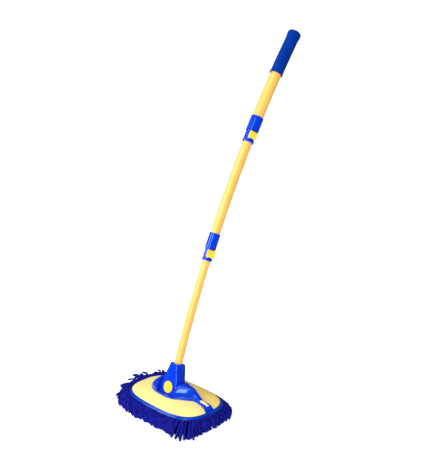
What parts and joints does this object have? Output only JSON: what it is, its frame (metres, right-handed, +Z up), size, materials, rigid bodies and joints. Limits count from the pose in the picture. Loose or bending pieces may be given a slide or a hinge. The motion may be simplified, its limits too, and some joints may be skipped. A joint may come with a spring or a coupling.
{
  "type": "flat mop",
  "caption": "Flat floor mop with a fringed yarn pad, a rimmed plastic head, a tilting socket with a foot button and a bent telescopic handle with cam clamps.",
  "frame": {"origin": "on the floor under the middle of the mop head, on the pad's underside", "axes": "+X along the head's length, towards the release tab; -Y the head's front, the side of the foot button; +Z up"},
  "size_m": [0.292, 0.5288, 0.8637],
  "materials": {
    "yarn": "matte",
    "board": "matte",
    "blue_plastic": "gloss",
    "cover_yellow": "satin",
    "bright_yellow": "gloss",
    "pale_yellow": "satin",
    "painted_tube": "satin",
    "grey_plastic": "matte",
    "steel": "satin",
    "blue_rubber": "matte"
  },
  "bodies": {
    "head": {"mop_pad": "yarn", "pad_backing": "board", "rim_frame": "blue_plastic", "top_cover": "cover_yellow", "hinge_base": "blue_plastic", "pivot_pin": "steel", "pivot_pin_plug": "blue_plastic", "base_screw_1": "steel", "base_screw_2": "steel", "base_screw_3": "steel", "base_screw_4": "steel", "tab_spring": "steel"},
    "release_tab": {"release_tab": "pale_yellow"},
    "socket": {"socket_body": "blue_plastic", "lower_tube": "painted_tube", "tube_screw": "steel", "lower_guide": "grey_plastic", "button_spring": "steel"},
    "tilt_button": {"tilt_button": "bright_yellow"},
    "middle_section": {"lower_collar": "blue_plastic", "middle_tube": "painted_tube", "middle_guide": "grey_plastic", "lower_rivet": "steel", "lower_lever_pin": "steel"},
    "lower_lever": {"lower_lever": "bright_yellow"},
    "upper_section": {"upper_collar": "blue_plastic", "upper_tube": "painted_tube", "grip_sleeve": "blue_rubber", "tube_end_plug": "grey_plastic", "upper_rivet": "steel", "upper_lever_pin": "steel"},
    "upper_lever": {"upper_lever": "bright_yellow"}
  },
  "joints": [
    {"name": "head_tilt", "type": "hinge", "parent": "head", "child": "socket", "pos_m": [0, -0.004, 0.06], "axis": [1, 0, 0], "range_deg": [-57, 85]},
    {"name": "button_press", "type": "slide", "parent": "socket", "child": "tilt_button", "axis": [0, 0.9459, -0.3244], "range_m": [0, 0.003], "stiffness_N_per_m": 2000, "springref_m": -0.002, "deforming": ["button_spring"]},
    {"name": "tab_press", "type": "slide", "parent": "head", "child": "release_tab", "axis": [0, 0, -1], "range_m": [0, 0.0025], "stiffness_N_per_m": 1000, "springref_m": -0.002, "deforming": ["tab_spring"]},
    {"name": "middle_slide", "type": "hinge", "parent": "socket", "child": "middle_section", "pos_m": [0, 2.70009, -0.8674], "axis": [1, 0, 0], "range_deg": [0, 4.5]},
    {"name": "lower_lever_flip", "type": "hinge", "parent": "middle_section", "child": "lower_lever", "pos_m": [0.01333, 0.1055, 0.3495], "axis": [0.4695, 0.7994, -0.3749], "range_deg": [0, 100]},
    {"name": "upper_slide", "type": "hinge", "parent": "middle_section", "child": "upper_section", "pos_m": [0, 2.70009, -0.8674], "axis": [1, 0, 0], "range_deg": [0, 3.6]},
    {"name": "upper_lever_flip", "type": "hinge", "parent": "upper_section", "child": "upper_lever", "pos_m": [0.0151, 0.24618, 0.61464], "axis": [0.4695, 0.7558, -0.4565], "range_deg": [0, 100]}
  ]
}
